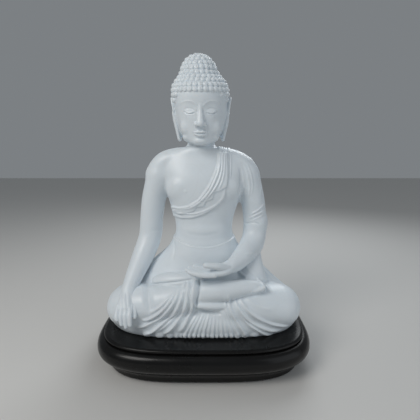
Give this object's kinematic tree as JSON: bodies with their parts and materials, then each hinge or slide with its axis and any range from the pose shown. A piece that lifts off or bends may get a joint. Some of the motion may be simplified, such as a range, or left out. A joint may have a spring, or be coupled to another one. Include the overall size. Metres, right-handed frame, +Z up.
{
  "type": "seated buddha statue",
  "caption": "White composite figure seated cross-legged in the earth-touching posture, lifting off the pegs of a black lacquered moulded wooden stand.",
  "frame": {"origin": "centre of the stand's underside, at the bottom of its rubber feet", "axes": "+Z up, -Y the way the figure faces, +X the figure's left"},
  "size_m": [0.2986, 0.2186, 0.42],
  "materials": {
    "white_composite": "satin, cast marble powder and resin, lightly polished",
    "black_lacquer": "satin to gloss black lacquer over wood",
    "steel": "plain zinc-plated steel",
    "rubber": "matte black rubber",
    "beech": "bare beech dowel",
    "felt": "pressed dark felt"
  },
  "bodies": {
    "stand": {"top_board": "black_lacquer", "moulding_front": "black_lacquer", "moulding_right": "black_lacquer", "moulding_back": "black_lacquer", "moulding_left": "black_lacquer", "foot_board": "black_lacquer", "board_screw_1": "steel", "board_screw_2": "steel", "board_screw_3": "steel", "board_screw_4": "steel", "stand_foot_1": "rubber", "stand_foot_2": "rubber", "stand_foot_3": "rubber", "stand_foot_4": "rubber", "locating_peg_1": "beech", "locating_peg_2": "beech"},
    "figure": {"lap": "white_composite", "torso": "white_composite", "head": "white_composite", "right_arm": "white_composite", "left_arm": "white_composite", "right_hand": "white_composite", "left_hand": "white_composite", "neck_pin": "steel", "waist_pin": "steel", "right_shoulder_pin": "steel", "left_shoulder_pin": "steel", "right_wrist_pin": "steel", "left_wrist_pin": "steel", "felt_pad": "felt"}
  },
  "joints": [
    {"name": "figure_lift", "type": "slide", "parent": "stand", "child": "figure", "axis": [0, 0, 1], "range_m": [0, 0.015]}
  ]
}
